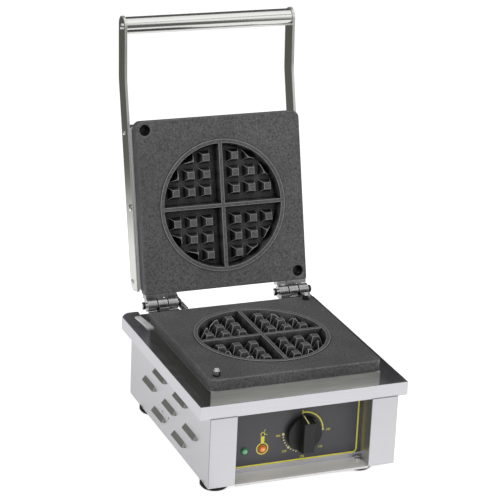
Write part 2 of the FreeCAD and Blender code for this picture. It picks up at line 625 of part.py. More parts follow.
# Heating elements, their clamps and the hidden controls
def element(name, z, terminal):
    """A ring of sheathed element with its gap at the back and two straight terminals."""
    gap = 14
    ring = doc.addObject("Part::Torus", name + "_ring")
    ring.setExpression("Radius1", bound("element_ring"))
    ring.setExpression("Radius2", bound("element_radius"))
    ring.Angle3 = 360 - 2 * gap
    place(ring, ("0", "plate_middle", z))
    ring.Placement = FreeCAD.Placement(V(), FreeCAD.Rotation(Z_AXIS, 90 + gap))
    pieces = [ring]
    for side, sign in (("left", -1), ("right", 1)):
        x = f"{sign} * element_ring * {math.sin(math.radians(gap)):.6f}"
        y = f"plate_middle + element_ring * {math.cos(math.radians(gap)):.6f}"
        turn = "-z" if terminal == "terminal_drop" else "z"
        pieces.append(rod(f"{name}_terminal_{side}", turn, (x, y, z), "element_radius + terminal_sleeve",
                          terminal))
    return fuse(name, *pieces)


def clamp_stud_spots(z):
    reach = "(element_ring - 14)"
    for sx, sy in ((0, -1), (-0.866025, 0.5), (0.866025, 0.5)):
        yield f"{sx} * {reach}", f"plate_middle + {sy} * {reach}", z


def clamp(name, low):
    disc = rod(name + "_disc", "z", ("0", "plate_middle", low), "clamp_radius", "clamp_thick")
    middle = rod(name + "_middle", "z", ("0", "plate_middle", f"{low} - 1"), "clamp_hole", "clamp_thick + 2")
    relief = box(name + "_relief", across("tray_window_half / 2"),
                 ("plate_middle + element_ring - 14", "plate_middle + clamp_radius + 1"),
                 (f"{low} - 1", f"{low} + clamp_thick + 1"))
    drills = [rod(f"{name}_drill_{n}", "z", spot, "clamp_stud + fit", "clamp_thick + 2")
              for n, spot in enumerate(clamp_stud_spots(f"{low} - 1"))]
    return cut(name, disc, middle, relief, *drills)


def clamp_studs(name, turn, face):
    nut = "2 * element_gap + 2 * element_radius + clamp_thick"
    points = [("0", "0"), ("clamp_stud", "0"), ("clamp_stud", nut), ("clamp_stud * 1.9", nut),
              ("clamp_stud * 1.9", f"{nut} + 5"), ("clamp_stud", f"{nut} + 5"), ("clamp_stud", f"{nut} + 7"),
              ("0", f"{nut} + 7")]
    return copies(name + "_group", turned(name, points, ("0", "0", "0")), clamp_stud_spots(face), turn)


def heater_parts():
    part("lower_element", element("lower_heater", "element_low", "terminal_drop"))
    swing("upper_element", element("upper_heater", "element_high", "terminal_rise"))
    part("lower_element_clamp", clamp("lower_clamp", "clamp_low"))
    swing("upper_element_clamp", clamp("upper_clamp", "clamp_high"))
    part("lower_clamp_studs", clamp_studs("lower_stud", "-z", "plate_bottom"))
    swing("upper_clamp_studs", clamp_studs("upper_stud", "z", "lid_back"))
    bulb_z = "plate_bottom - 3.1"
    top = rod("bulb", "y", ("0", "plate_middle - 30", bulb_z), "3", "60")
    elbow = doc.addObject("Part::Sphere", "capillary_elbow")
    elbow.Radius = 1
    place(elbow, ("0", "plate_middle - 36", bulb_z))
    neck = rod("capillary_neck", "y", ("0", "plate_middle - 36", bulb_z), "1", "7")
    drop = rod("capillary_drop", "-z", ("0", "plate_middle - 36", bulb_z), "1", "plate_bottom - dial_z")
    low = doc.addObject("Part::Sphere", "capillary_low_elbow")
    low.Radius = 1
    place(low, ("0", "plate_middle - 36", "dial_z - 3.1"))
    run = rod("capillary_run", "-y", ("0", "plate_middle - 36", "dial_z - 3.1"), "1",
              "plate_middle - 36 - panel_back - thermostat_deep")
    part("thermostat_bulb", fuse("capillary", top, elbow, neck, drop, low, run))
    cutout = [("0", "0"), ("8", "0"), ("8", "8"), ("5", "8"), ("5", "12"), ("0", "12")]
    part("safety_cutout", turned("cutout", cutout, ("22", "plate_middle", "plate_bottom"), "-z"))
    block = box("terminal_box", ("-30", "30"), ("case_rear - 70", "case_rear - 44"),
                ("case_floor", "case_floor + 20"))
    ways = [rod(f"terminal_way_{n}", "z", (f"{11.5 * n - 23}", "case_rear - 57", "case_floor + 12"), "2.5",
                "9") for n in range(5)]
    part("terminal_block", cut("terminal", block, *ways))


# Hinges
def knuckle(name, number, side, up):
    """One knuckle with the web that joins it to its leaf; up is 1 on the lid and -1 on the base."""
    start = f"hinge_inner + {number} * knuckle_length + knuckle_gap / 2"
    length = "knuckle_length - knuckle_gap"
    low = start if side > 0 else f"-({start}) - ({length})"
    barrel = rod(f"{name}_barrel_{number}", "x", (low, "axis_y", "axis_z"), "knuckle_radius", length)
    heights = ("axis_z", "axis_z + knuckle_radius") if up > 0 else ("axis_z - knuckle_radius", "axis_z")
    web = box(f"{name}_web_{number}", (low, f"{low} + {length}"), ("plate_rear", "axis_y"), heights)
    return [barrel, web]


def hinge_leaf(name, side, numbers, up):
    ends = ("hinge_inner + knuckle_gap / 2", "hinge_outer - knuckle_gap / 2")
    x = ends if side > 0 else (f"-({ends[1]})", f"-({ends[0]})")
    z = ("axis_z + 0.6", "lid_back - 1") if up > 0 else ("plate_bottom + 1", "axis_z - 6")
    pieces = [box(name + "_leaf", x, ("plate_rear", "leaf_back"), z)]
    for number in numbers:
        pieces += knuckle(name, number, side, up)
    hole = rod(name + "_bore", "x", ("-hinge_outer - 10", "axis_y", "axis_z"), "pin_radius + pin_play",
               "2 * hinge_outer + 20")
    level = "axis_z + 10" if up > 0 else "axis_z - 14"
    drills = [rod(f"{name}_screw_drill_{n}", "y", (spot_x, "plate_rear - 1", level), "screw_shank + fit",
                  "leaf_thick + 2")
              for n, (spot_x, y) in enumerate(hinge_screw_sides("upper" if up > 0 else "lower"))]
    return cut(name, fuse(name + "_solid", *pieces), hole, *drills)


def hinge_parts():
    part("lower_hinge_left", hinge_leaf("lower_leaf_left", -1, (1,), -1))
    part("lower_hinge_right", hinge_leaf("lower_leaf_right", 1, (0, 2), -1))
    swing("upper_hinge_left", hinge_leaf("upper_leaf_left", -1, (0, 2), 1))
    swing("upper_hinge_right", hinge_leaf("upper_leaf_right", 1, (1,), 1))
    long = "hinge_outer - hinge_inner + 2 * knuckle_gap"
    stub = "pin_ring_long + 1"
    rings = []
    for side, sign, turn in (("right", 1, "x"), ("left", -1, "-x")):
        start = f"{sign} * (hinge_inner - knuckle_gap - ({stub}))"
        part(f"hinge_pin_{side}", rod(f"pin_{side}", turn, (start, "axis_y", "axis_z"), "pin_radius",
                                      f"{long} + 2 * ({stub})"))
        for end, reach in (("inner", "hinge_inner - knuckle_gap - pin_ring_long"),
                           ("outer", "hinge_outer + knuckle_gap")):
            ring = [("pin_radius", "0"), ("pin_ring", "0"), ("pin_ring", "pin_ring_long"),
                    ("pin_radius", "pin_ring_long")]
            rings.append(turned(f"pin_ring_{side}_{end}", ring, (f"{sign} * ({reach})", "axis_y", "axis_z"),
                                turn))
    part("hinge_pin_nuts", group("pin_rings", *rings))
    bolt = screw("hinge_screw", "screw_head", "3", "12")
    lower = [(x, y, "axis_z - 14") for x, y in hinge_screw_sides("lower")]
    upper = [(x, y, "axis_z + 10") for x, y in hinge_screw_sides("upper")]
    part("lower_hinge_screws", copies("lower_leaf_screws", bolt, lower, "y"))
    swing("upper_hinge_screws", copies("upper_leaf_screws", bolt, upper, "y"))
    bracket_parts()


def bracket_parts():
    """Side rest at the left rear corner of the lower plate: a slanting strip that stands off it on a foot."""
    front, back = "plate_rear + bracket_past - bracket_length", "plate_rear + bracket_past"
    inner, outer = "-plate_half - bracket_gap", "-plate_half - bracket_gap - bracket_wide"
    corners = [(outer, back), (inner, back), (f"{inner} + bracket_lean", front),
               (f"{outer} + bracket_lean", front)]
    strip = padded("bracket_strip", "XY_Plane", corners, "bracket_thick", "plate_bottom + bracket_thick")
    foot = box("bracket_foot", (f"{outer} + bracket_lean", "-plate_half"),
               (f"{front} + bracket_thick", "plate_rear - bracket_thick"),
               ("plate_bottom", "plate_bottom + bracket_thick"))
    part("plate_bracket_left", fuse("bracket", strip, foot))


# Lid: cover, arms and handle
def arm_outline():
    """Side view of an arm: level along the lid, then sloping to the handle."""
    half = "arm_width / 2"
    tip_y, tip_z = f"grip_y - {half} * slope_cos", f"grip_z - {half} * slope_sin"
    return [("arm_end", "arm_low"), ("arm_end", "arm_high"), ("bend_y - mitre", "arm_high"),
            (f"{tip_y} - {half} * slope_sin", f"{tip_z} + {half} * slope_cos"),
            (f"{tip_y} + {half} * slope_sin", f"{tip_z} - {half} * slope_cos"), ("bend_y + mitre", "arm_low")]


def near(y, z):
    return lambda middle, along: abs(along.x) > 0.99 and math.hypot(middle.y - y, middle.z - z) < 0.01


def arm_blank():
    blank = padded("arm_bar", "YZ_Plane", arm_outline(), "arm_thick", "arm_inner")
    rounded(blank, "min(arm_corner; arm_width - 1)", near(size("arm_end"), size("arm_high")))
    bend, mitre = size("bend_y"), size("mitre")
    rounded(blank, "arm_bend", near(bend - mitre, size("arm_high")))
    rounded(blank, "arm_bend", near(bend + mitre, size("arm_low")))
    tip = size("grip_y") - size("arm_width") / 3
    rounded(blank, "arm_width / 2 - fit", lambda middle, along: abs(along.x) > 0.99 and middle.y < tip)
    drills = [rod(f"arm_drill_{n}", "x", (f"arm_inner - 1", y, z), radius, "arm_thick + 2")
              for n, (y, z, radius) in enumerate(arm_screw_spots())]
    return cut("arm_drilled", blank, *drills)


def arm_screw_spots():
    small, large = "screw_shank + fit", "screw_shank + 1 + fit"
    yield "plate_front + 17", "arm_mid + 5", small
    yield "arm_end - 13", "arm_mid + 5", small
    yield "plate_middle", "arm_low + 6", large
    yield "grip_y", "grip_z", large


def lid_parts():
    outer = padded("cover_outer", "XY_Plane", rectangle(across("arm_inner"), ("cover_front", "arm_end")),
                   "cover_height", "lid_back")
    rounded(outer, "cover_round", upright)
    top = size("cover_top")
    rounded(outer, "cover_round - 1", lambda middle, along: abs(middle.z - top) < 1e-6)
    hollow = rectangle(across("arm_inner - cover_sheet"), ("cover_front + cover_sheet",
                                                           "arm_end - cover_sheet"))
    inner = padded("cover_inner", "XY_Plane", hollow, "cover_height - cover_sheet + 1", "lid_back - 1")
    rounded(inner, "cover_round - cover_sheet", upright)
    under = size("cover_top") - size("cover_sheet")
    rounded(inner, "cover_round - cover_sheet - 1", lambda middle, along: abs(middle.z - under) < 1e-6)
    exit_hole = rod("cover_conduit_hole", "-y", ("conduit_high_x", "arm_end + 1", "conduit_lid_z"),
                    "conduit_radius + bush_wall / 2 + fit", "cover_sheet + 2")
    drills = [rod(f"cover_drill_{side}_{n}", "x", (x, y, z), radius, "cover_sheet + 2")
              for side, x in (("left", "-arm_inner - 1"), ("right", "arm_inner - cover_sheet - 1"))
              for n, (y, z, radius) in enumerate(list(arm_screw_spots())[:3])]
    swing("upper_cover", cut("cover", outer, inner, exit_hole, *drills))
    right = arm_blank()
    swing("handle_arm_right", right)
    part("handle_arm_left", mirror("arm_left", right))
    skin = rod("grip_skin", "x", ("-arm_inner", "grip_y", "grip_z"), "grip_radius", "2 * arm_inner")
    hollow = rod("grip_hollow", "x", ("-arm_inner - 1", "grip_y", "grip_z"), "grip_radius - grip_wall",
                 "2 * arm_inner + 2")
    swing("handle_tube", cut("grip", skin, hollow))
    plug = [("0", "-22"), ("grip_radius - grip_wall", "-22"), ("grip_radius - grip_wall", "0"),
            ("screw_shank + 1 + fit", "0"), ("screw_shank + 1 + fit", "-16"), ("0", "-16")]
    ends = (("right", "arm_inner", "x"), ("left", "-arm_inner", "-x"))
    plugs = [turned(f"plug_{side}", plug, (x, "grip_y", "grip_z"), turn) for side, x, turn in ends]
    swing("handle_plugs", group("plugs", *plugs))
    small = screw("cover_screw", "screw_head", "screw_dome", "arm_thick + cover_sheet + 2")
    heads = [("right", "arm_outer", "x"), ("left", "-arm_outer", "-x")]
    spots = list(arm_screw_spots())
    swing("cover_screws", group("cover_screw_sets", *[
        copies(f"cover_screws_{side}", small, [(x, y, z) for y, z, r in spots[:2]], turn)
        for side, x, turn in heads]))
    thick = [("0", "-12"), ("screw_shank + 1", "-12"), ("screw_shank + 1", "0"), ("bolt_head", "0"),
             ("bolt_head", "2"),
             ("bolt_head * 0.6", "3.4"), ("0", "3.4")]
    bolt = turned("arm_bolt", thick, ("0", "0", "0"))
    swing("arm_bolts", group("arm_bolt_sets", *[
        copies(f"arm_bolts_{side}", bolt, [(x, "plate_middle", "arm_low + 6")], turn)
        for side, x, turn in heads]))
    swing("handle_screws", group("handle_screw_sets", *[
        copies(f"handle_screws_{side}", bolt, [(x, "grip_y", "grip_z")], turn) for side, x, turn in heads]))
    bush = [("conduit_radius + bush_play", "-cover_sheet - 2"),
            ("conduit_radius + bush_wall / 2", "-cover_sheet - 2"),
            ("conduit_radius + bush_wall / 2", "0"), ("conduit_radius + bush_wall", "0"),
            ("conduit_radius + bush_wall", "bush_tall"),
            ("conduit_radius + bush_play", "bush_tall")]
    lid_bush = turned("lid_bush", bush, ("conduit_high_x", "arm_end", "conduit_lid_z"), "y")
    swing("conduit_gland", group("lid_bush_set", lid_bush))


# Ribbed conduit from the case to the lid
def conduit_route():
    """Ends and two corners of the conduit with the lid open."""
    angle = math.radians(size("open_angle"))
    down = V(0, math.cos(angle), -math.sin(angle))
    dy, dz = size("arm_end") - size("axis_y"), size("conduit_lid_z") - size("axis_z")
    mouth = V(size("conduit_high_x"), size("axis_y") + dy * math.cos(angle) + dz * math.sin(angle),
              size("axis_z") - dy * math.sin(angle) + dz * math.cos(angle))
    low = V(size("conduit_low_x"), size("conduit_y"), size("tray_floor"))
    return [low - Z_AXIS * size("conduit_in_base"), low + Z_AXIS * size("conduit_leaves"),
            mouth + down * size("bush_tall") * 4, mouth - down * size("conduit_in_lid")]


def conduit_path(route):
    """Straight runs joined by tangent arcs, as a wire; prints each arc's radius."""
    share = 0.45
    edges = []
    start = route[0]
    for before, corner, after in zip(route, route[1:], route[2:]):
        into, out = (corner - before), (after - corner)
        shorter = min(into.Length, out.Length)
        into.normalize()
        out.normalize()
        half_turn = into.getAngle(out) / 2
        reach = share * shorter
        radius = reach / math.tan(half_turn)
        first, last = corner - into * reach, corner + out * reach
        inward = (out - into).normalize()
        middle = corner + inward * (radius / math.cos(half_turn) - radius)
        edges += [Part.LineSegment(start, first).toShape(), Part.Arc(first, middle, last).toShape()]
        print(f"conduit arc radius {radius:.1f}")
        start = last
    edges.append(Part.LineSegment(start, route[-1]).toShape())
    return Part.Wire(edges)


def along(wire, distance):
    """Point and direction at a distance along the wire."""
    for edge in wire.Edges:
        if distance <= edge.Length or edge.isSame(wire.Edges[-1]):
            place_on = edge.getParameterByLength(min(distance, edge.Length))
            return edge.valueAt(place_on), edge.tangentAt(place_on)
        distance -= edge.Length


def circle_at(wire, distance, radius):
    point, direction = along(wire, distance)
    turn = FreeCAD.Rotation(X_AXIS, V(), direction, "ZXY")
    ring = Part.makeCircle(radius)
    ring.Placement = FreeCAD.Placement(point, turn)
    return Part.Wire([ring])


def conduit_parts():
    wire = conduit_path(conduit_route())
    plain = 2 * size("conduit_radius")
    pitch, crest = size("conduit_pitch"), size("conduit_radius")
    groove = crest - size("conduit_groove")
    count = int((wire.Length - 2 * plain) / pitch)
    sections = [circle_at(wire, 0, crest)]
    for rib in range(count):
        start = plain + rib * pitch
        for share, radius in ((0.0, crest), (0.2, groove), (0.4, groove), (0.6, crest)):
            sections.append(circle_at(wire, start + share * pitch, radius))
    sections.append(circle_at(wire, wire.Length, crest))
    skin = Part.makeLoft(sections, True, True)
    bore_steps = 24
    bore = Part.makeLoft([circle_at(wire, wire.Length * step / bore_steps, size("conduit_bore"))
                          for step in range(bore_steps + 1)], True, True)
    hose = doc.addObject("Part::Feature", "conduit")
    hose.Shape = skin.cut(bore)
    print(f"conduit length {wire.Length:.1f}, ribs {count}, volume {hose.Shape.Volume:.0f}")
    part("flex_conduit", hose)


case_parts()
foot_parts()
control_parts()
tray_parts()
plate_parts()
heater_parts()
hinge_parts()
lid_parts()
conduit_parts()
doc.recompute()

for obj in doc.Objects:
    if {"Invalid", "Error"} & set(obj.State):
        raise RuntimeError(f"{obj.Name} failed: {obj.State}")
for label, obj in parts.items():
    if obj.Shape.isNull() or not obj.Shape.isValid() or not obj.Shape.Solids:
        raise RuntimeError(f"{label} has no valid solid")

os.makedirs("parts", exist_ok=True)
for label, obj in parts.items():
    obj.Shape.exportStep(f"parts/{label}.step")
print(f"{len(parts)} sub-parts written")
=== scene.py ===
import json
import math
import bpy
from mathutils import Matrix, Vector

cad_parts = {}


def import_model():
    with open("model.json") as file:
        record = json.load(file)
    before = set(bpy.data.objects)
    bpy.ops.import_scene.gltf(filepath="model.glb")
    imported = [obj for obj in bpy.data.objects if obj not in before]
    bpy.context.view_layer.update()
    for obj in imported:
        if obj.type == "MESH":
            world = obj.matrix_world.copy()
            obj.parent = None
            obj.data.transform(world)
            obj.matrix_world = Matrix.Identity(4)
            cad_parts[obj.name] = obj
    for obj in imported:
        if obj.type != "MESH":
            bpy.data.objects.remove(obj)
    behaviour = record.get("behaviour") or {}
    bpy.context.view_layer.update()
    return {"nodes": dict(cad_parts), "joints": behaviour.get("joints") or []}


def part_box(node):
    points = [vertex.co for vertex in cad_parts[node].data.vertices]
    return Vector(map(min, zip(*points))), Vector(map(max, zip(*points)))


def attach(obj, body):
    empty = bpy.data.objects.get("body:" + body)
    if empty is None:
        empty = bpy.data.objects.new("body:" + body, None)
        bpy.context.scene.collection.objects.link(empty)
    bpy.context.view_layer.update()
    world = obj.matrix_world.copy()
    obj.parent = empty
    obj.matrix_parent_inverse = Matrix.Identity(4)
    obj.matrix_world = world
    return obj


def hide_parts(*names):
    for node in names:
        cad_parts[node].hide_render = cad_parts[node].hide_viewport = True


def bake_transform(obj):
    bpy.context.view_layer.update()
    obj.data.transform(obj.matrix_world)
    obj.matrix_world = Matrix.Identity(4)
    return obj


# Look of the waffle iron: finishes, printed panel, conduit, light and camera. Metres, X right, Y back, Z up.
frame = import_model()
nodes = frame["nodes"]
joints = {joint["name"]: joint for joint in frame["joints"]}
MM = 0.001


def middle(node):
    """The centre of a node's box."""
    low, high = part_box(node)
    return tuple((a + b) / 2 for a, b in zip(low, high))


# Shader building blocks
def new_group(name, inputs, outputs):
    """A shader node group with named sockets; returns its tree, input node and output node."""
    tree = bpy.data.node_groups.new(name, "ShaderNodeTree")
    for kind, label, value in inputs:
        socket = tree.interface.new_socket(label, in_out="INPUT", socket_type="NodeSocket" + kind)
        socket.default_value = value
    for kind, label in outputs:
        tree.interface.new_socket(label, in_out="OUTPUT", socket_type="NodeSocket" + kind)
    return tree, tree.nodes.new("NodeGroupInput"), tree.nodes.new("NodeGroupOutput")


def link_or_set(tree, socket, value):
    """Links a socket from another one, or sets its value; None leaves it as it is."""
    if isinstance(value, bpy.types.NodeSocket):
        tree.links.new(value, socket)
    elif value is not None:
        socket.default_value = value


def math_node(tree, operation, *values):
    """One number from up to three numbers or sockets."""
    node = tree.nodes.new("ShaderNodeMath")
    node.operation = operation
    for socket, value in zip(node.inputs, values):
        link_or_set(tree, socket, value)
    return node.outputs[0]


def vector_number(tree, operation, a, b=None):
    """One number from vectors: a length, a distance or a dot product."""
    node = tree.nodes.new("ShaderNodeVectorMath")
    node.operation = operation
    link_or_set(tree, node.inputs[0], a)
    link_or_set(tree, node.inputs[1], b)
    return node.outputs["Value"]


def split_axes(tree, vector):
    """The X, Y and Z of a vector."""
    node = tree.nodes.new("ShaderNodeSeparateXYZ")
    tree.links.new(vector, node.inputs[0])
    return node.outputs


def mix_colour(tree, factor, a, b):
    """A colour between two; the node's sockets for colours come after those for numbers and vectors."""
    factor_socket, a_socket, b_socket, result_socket = 0, 6, 7, 2
    node = tree.nodes.new("ShaderNodeMix")
    node.data_type = "RGBA"
    link_or_set(tree, node.inputs[factor_socket], factor)
    link_or_set(tree, node.inputs[a_socket], a)
    link_or_set(tree, node.inputs[b_socket], b)
    return node.outputs[result_socket]


def noise(tree, vector, scale, detail=3.0, rough=0.55):
    """A noise over a place; scale is in waves to the metre."""
    node = tree.nodes.new("ShaderNodeTexNoise")
    tree.links.new(vector, node.inputs["Vector"])
    link_or_set(tree, node.inputs["Scale"], scale)
    node.inputs["Detail"].default_value = detail
    node.inputs["Roughness"].default_value = rough
    return node.outputs["Fac"]


def run(tree, value, start, stop, low, high, kind="LINEAR"):
    """Goes from low at start to high at stop, and stays level outside them."""
    node = tree.nodes.new("ShaderNodeMapRange")
    node.interpolation_type = kind
    tree.links.new(value, node.inputs["Value"])
    for label, limit in (("From Min", start), ("From Max", stop), ("To Min", low), ("To Max", high)):
        link_or_set(tree, node.inputs[label], limit)
    return node.outputs["Result"]


def smooth(tree, value, start, stop, low, high):
    """A smooth step from low at start to high at stop."""
    return run(tree, value, start, stop, low, high, "SMOOTHSTEP")


def spread(tree, value, low, high):
    """Carries the middle of a noise, where most of it lies, to low..high."""
    rare_low, rare_high = 0.3, 0.7
    return run(tree, value, rare_low, rare_high, low, high)


def brushed_group():
    """Fine scratches: quick change along Across, slow along Along; and wide clouds."""
    tree, source, sink = new_group(
        "brushed",
        [("Vector", "Vector", (0, 0, 0)), ("Vector", "Across", (0, 0, 1)), ("Vector", "Along", (0, 1, 0)),
         ("Float", "Pitch", 900.0)],
        [("Float", "Scratch"), ("Float", "Cloud")])
    slow, cloud = 14.0, 9.0
    place = source.outputs["Vector"]
    across = vector_number(tree, "DOT_PRODUCT", place, source.outputs["Across"])
    along = vector_number(tree, "DOT_PRODUCT", place, source.outputs["Along"])
    drawn = tree.nodes.new("ShaderNodeCombineXYZ")
    tree.links.new(math_node(tree, "MULTIPLY", across, source.outputs["Pitch"]), drawn.inputs["X"])
    tree.links.new(math_node(tree, "MULTIPLY", along, slow), drawn.inputs["Y"])
    tree.links.new(noise(tree, drawn.outputs[0], 1.0, detail=4.0, rough=0.7), sink.inputs["Scratch"])
    tree.links.new(noise(tree, place, cloud), sink.inputs["Cloud"])
    return tree


def grain_group():
    """Cast or moulded surface: fine grain and wide clouds."""
    tree, source, sink = new_group(
        "grain", [("Vector", "Vector", (0, 0, 0)), ("Float", "Fine", 900.0), ("Float", "Wide", 12.0)],
        [("Float", "Grain"), ("Float", "Cloud")])
    place = source.outputs["Vector"]
    tree.links.new(noise(tree, place, source.outputs["Fine"], rough=0.6), sink.inputs["Grain"])
    tree.links.new(noise(tree, place, source.outputs["Wide"]), sink.inputs["Cloud"])
    return tree


def edges_group():
    """Masks for painted highlights on outer edges and painted shade in hollows, from how closed in the
    surface is on either side.
    """
    tree, source, sink = new_group(
        "edges", [("Float", "Edge Width", 0.0012), ("Float", "Hollow Reach", 0.014)],
        [("Float", "Edge"), ("Float", "Hollow")])
    edge_gain, hollow_gain = 2.2, 1.9
    sides = (("Edge", "Edge Width", True, edge_gain), ("Hollow", "Hollow Reach", False, hollow_gain))
    for label, reach, inside, gain in sides:
        near = tree.nodes.new("ShaderNodeAmbientOcclusion")
        near.inside = inside
        near.only_local = True
        near.samples = 8
        tree.links.new(source.outputs[reach], near.inputs["Distance"])
        closed = math_node(tree, "SUBTRACT", 1.0, near.outputs["AO"])
        mask = math_node(tree, "MULTIPLY", closed, gain)
        mask.node.use_clamp = True
        tree.links.new(mask, sink.inputs[label])
    return tree


def facing_group():
    """How squarely a face stands to an axis, from either side: 0 aslant, 1 square."""
    tree, source, sink = new_group("facing", [("Vector", "Axis", (0, 0, 1))], [("Float", "Square")])
    aslant, square = 0.5, 0.9
    face = tree.nodes.new("ShaderNodeNewGeometry").outputs["True Normal"]
    turned = math_node(tree, "ABSOLUTE", vector_number(tree, "DOT_PRODUCT", face, source.outputs["Axis"]))
    tree.links.new(smooth(tree, turned, aslant, square, 0.0, 1.0), sink.inputs["Square"])
    return tree


def heart_group():
    """The lit heart of a lamp, broken up by facets: full inside Near of its Centre, gone past Far."""
    tree, source, sink = new_group(
        "heart",
        [("Vector", "Vector", (0, 0, 0)), ("Vector", "Centre", (0, 0, 0)), ("Float", "Near", 0.001),
         ("Float", "Far", 0.005)],
        [("Float", "Lit")])
    facet, dimmest = 420.0, 0.35
    place = source.outputs["Vector"]
    away = vector_number(tree, "DISTANCE", place, source.outputs["Centre"])
    lit = smooth(tree, away, source.outputs["Near"], source.outputs["Far"], 1.0, 0.0)
    facets = spread(tree, noise(tree, place, facet, detail=1.0), dimmest, 1.0)
    tree.links.new(math_node(tree, "MULTIPLY", lit, facets), sink.inputs["Lit"])
    return tree


BRUSHED = brushed_group()
GRAIN = grain_group()
EDGES = edges_group()
FACING = facing_group()
HEART = heart_group()


# Kinds of finish
def add_effect(tree, group, settings):
    """Places an effect in a material with its own values, on Object coordinates if it reads a place."""
    effect = tree.nodes.new("ShaderNodeGroup")
    effect.node_tree = group
    if "Vector" in effect.inputs:
        place = tree.nodes.new("ShaderNodeTexCoord")
        tree.links.new(place.outputs["Object"], effect.inputs["Vector"])
    for label, value in settings.items():
        effect.inputs[label].default_value = value
    return effect


def new_material(name):
    """A new material; returns it with its tree and its shader."""
    material = bpy.data.materials.new(name)
    material.use_nodes = True
    return material, material.node_tree, material.node_tree.nodes["Principled BSDF"]


def bump(tree, surface, height, strength, distance, edge):
    """Surface relief, on edges softened by a small radius."""
    soft = tree.nodes.new("ShaderNodeBevel")
    soft.samples = 4
    soft.inputs["Radius"].default_value = edge
    node = tree.nodes.new("ShaderNodeBump")
    tree.links.new(soft.outputs["Normal"], node.inputs["Normal"])
    node.inputs["Strength"].default_value = strength
    node.inputs["Distance"].default_value = distance
    tree.links.new(height, node.inputs["Height"])
    tree.links.new(node.outputs["Normal"], surface.inputs["Normal"])


def grey(level):
    return (level, level, level)


def shade(colour, factor=1.0):
    """A colour made darker or lighter, with its alpha."""
    return tuple(min(1.0, c * factor) for c in colour) + (1.0,)


def two_tone(tree, value, colour, contrast):
    """A colour that a noise makes darker and lighter by contrast."""
    dark, light = shade(colour, 1 - contrast), shade(colour, 1 + contrast)
    return mix_colour(tree, spread(tree, value, 0.0, 1.0), dark, light)


def brushed(name, colour, roughness, across=(0, 0, 1), along=(0, 1, 0), pitch=900.0, contrast=0.08, lift=0.05,
            metallic=1.0):
    """Brushed sheet or bar: its scratches run along, and change across."""
    cloud_share, cloud_shade, smoother, rougher = 0.35, 0.93, 0.05, 0.07
    material, tree, surface = new_material(name)
    effect = add_effect(tree, BRUSHED, {"Across": across, "Along": along, "Pitch": pitch})
    scratch, cloud = effect.outputs["Scratch"], effect.outputs["Cloud"]
    tone = two_tone(tree, scratch, colour, contrast)
    tone = mix_colour(tree, spread(tree, cloud, 0.0, cloud_share), tone, shade(colour, cloud_shade))
    tree.links.new(tone, surface.inputs["Base Color"])
    rough = spread(tree, scratch, roughness - smoother, roughness + rougher)
    tree.links.new(rough, surface.inputs["Roughness"])
    surface.inputs["Metallic"].default_value = metallic
    bump(tree, surface, scratch, lift, distance=0.2 * MM, edge=0.7 * MM)
    return material


def grained(name, colour, roughness, fine=900.0, wide=12.0, metallic=0.0, contrast=0.12, lift=0.2,
            deep=0.4 * MM, gloss=0.5):
    """Cast, moulded or printed surface: fine grain on wide clouds."""
    cloud_share, smoother, rougher = 0.5, 0.05, 0.06
    material, tree, surface = new_material(name)
    effect = add_effect(tree, GRAIN, {"Fine": fine, "Wide": wide})
    grain, cloud = effect.outputs["Grain"], effect.outputs["Cloud"]
    tone = two_tone(tree, grain, colour, contrast)
    tone = mix_colour(tree, spread(tree, cloud, 0.0, cloud_share), tone, shade(colour, 1 - contrast))
    tree.links.new(tone, surface.inputs["Base Color"])
    rough = spread(tree, cloud, roughness - smoother, roughness + rougher)
    tree.links.new(rough, surface.inputs["Roughness"])
    surface.inputs["Metallic"].default_value = metallic
    surface.inputs["Specular IOR Level"].default_value = gloss
    bump(tree, surface, grain, lift, distance=deep, edge=0.5 * MM)
    return material


def lay_over(tree, mask, colour, dull=0.0):
    """Mixes a colour into a finish where the mask is; dull takes a metal's gloss off there."""
    surface = tree.nodes["Principled BSDF"]
    target, metal = surface.inputs["Base Color"], surface.inputs["Metallic"]
    tree.links.new(mix_colour(tree, mask, target.links[0].from_socket, shade(colour)), target)
    if dull:
        tree.links.new(math_node(tree, "MULTIPLY_ADD", mask, -dull, metal.default_value), metal)


def rub(material, edge, hollow, width, reach, hollow_share=0.9, dull=0.0, oiled=0.0):
    """Adds painted highlights on edges and painted shade in hollows; dull takes gloss off the edges, oiled
    smooths the hollows.
    """
    tree = material.node_tree
    effect = add_effect(tree, EDGES, {"Edge Width": width, "Hollow Reach": reach})
    lay_over(tree, math_node(tree, "MULTIPLY", effect.outputs["Hollow"], hollow_share), hollow)
    lay_over(tree, effect.outputs["Edge"], edge, dull)
    if oiled:
        rough = tree.nodes["Principled BSDF"].inputs["Roughness"]
        film = math_node(tree, "MULTIPLY_ADD", effect.outputs["Hollow"], -oiled, rough.links[0].from_socket)
        tree.links.new(film, rough)
    return material


def square_to(material, axis, colour, dull=0.0):
    """Another colour painted on the faces that stand square to an axis, as painted light or shade."""
    tree = material.node_tree
    lay_over(tree, add_effect(tree, FACING, {"Axis": axis}).outputs["Square"], colour, dull)
    return material


def pressed(material, colour, dull):
    """Where a sheet has been pressed out of its flat, it is made matt, with painted shade that darkens it."""
    flat, bent = 0.97, 0.86
    tree = material.node_tree
    face = tree.nodes.new("ShaderNodeNewGeometry").outputs["True Normal"]
    x, y, z = [math_node(tree, "ABSOLUTE", side) for side in split_axes(tree, face)]
    nearest = math_node(tree, "MAXIMUM", math_node(tree, "MAXIMUM", x, y), z)
    lay_over(tree, run(tree, nearest, flat, bent, 0.0, 1.0), colour, dull)
    return material


